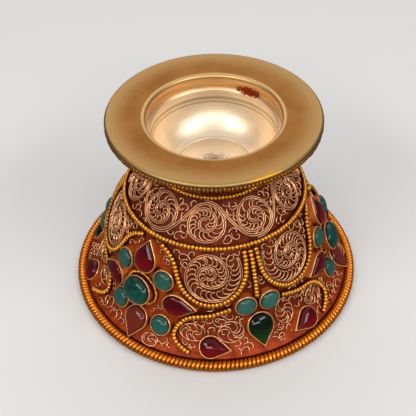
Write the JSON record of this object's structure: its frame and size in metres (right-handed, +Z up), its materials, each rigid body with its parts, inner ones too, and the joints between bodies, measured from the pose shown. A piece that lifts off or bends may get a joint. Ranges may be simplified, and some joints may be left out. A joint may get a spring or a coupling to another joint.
{
  "type": "butter lamp",
  "caption": "Small footed butter lamp: a turned brass bowl with a wide flat rim on a flared hollow foot trimmed with beaded wire, filigree scrolls and bezel-set stones.",
  "frame": {"origin": "on the ground under the middle of the foot", "axes": "+Z up, -Y towards the front seen in the picture, +X to its right"},
  "size_m": [0.09, 0.09, 0.0607],
  "materials": {
    "bowl_brass": "turned and polished",
    "foot_brass": "brick-red patina",
    "bead_gold": "gilded",
    "filigree_gold": "gilded, worn bright",
    "bezel_gold": "gilded",
    "steel": "plain",
    "green_stone": "polished cabochon",
    "red_stone": "polished cabochon",
    "dark_green_stone": "polished cabochon"
  },
  "bodies": {
    "root": {"apron_arm_wires_1": "bead_gold", "apron_arm_wires_2": "bead_gold", "apron_arm_wires_3": "bead_gold", "apron_bar_wire_1": "bead_gold", "apron_bar_wire_2": "bead_gold", "apron_bar_wire_3": "bead_gold", "apron_bezels_1": "bezel_gold", "apron_bezels_2": "bezel_gold", "apron_bezels_3": "bezel_gold", "apron_dark_stone_1": "dark_green_stone", "apron_dark_stone_2": "dark_green_stone", "apron_dark_stone_3": "dark_green_stone", "apron_filigree_1": "filigree_gold", "apron_filigree_2": "filigree_gold", "apron_filigree_3": "filigree_gold", "apron_green_stones_1": "green_stone", "apron_green_stones_2": "green_stone", "apron_green_stones_3": "green_stone", "apron_red_stones_1": "red_stone", "apron_red_stones_2": "red_stone", "apron_red_stones_3": "red_stone", "base_shell": "foot_brass", "bowl_stud": "steel", "flower_bead_ring_1": "bead_gold", "flower_bead_ring_2": "bead_gold", "flower_bead_ring_3": "bead_gold", "flower_bezels_1": "bezel_gold", "flower_bezels_2": "bezel_gold", "flower_bezels_3": "bezel_gold", "flower_green_stones_1": "green_stone", "flower_green_stones_2": "green_stone", "flower_green_stones_3": "green_stone", "flower_oval_collar_1": "bezel_gold", "flower_oval_collar_2": "bezel_gold", "flower_oval_collar_3": "bezel_gold", "flower_oval_stone_1": "green_stone", "flower_oval_stone_2": "green_stone", "flower_oval_stone_3": "green_stone", "flower_red_stones_1": "red_stone", "flower_red_stones_2": "red_stone", "flower_red_stones_3": "red_stone", "foot_rope_wire": "bead_gold", "lamp_bowl": "bowl_brass", "neck_bead_wire": "bead_gold", "rim_bead_wire": "bead_gold", "shoulder_bead_wire": "bead_gold", "shoulder_filigree_1": "filigree_gold", "shoulder_filigree_2": "filigree_gold", "stud_nut": "steel", "stud_washer": "steel", "window_filigree_1": "filigree_gold", "window_filigree_2": "filigree_gold", "window_filigree_3": "filigree_gold", "window_frame_wires_1": "bead_gold", "window_frame_wires_2": "bead_gold", "window_frame_wires_3": "bead_gold"}
  },
  "joints": []
}
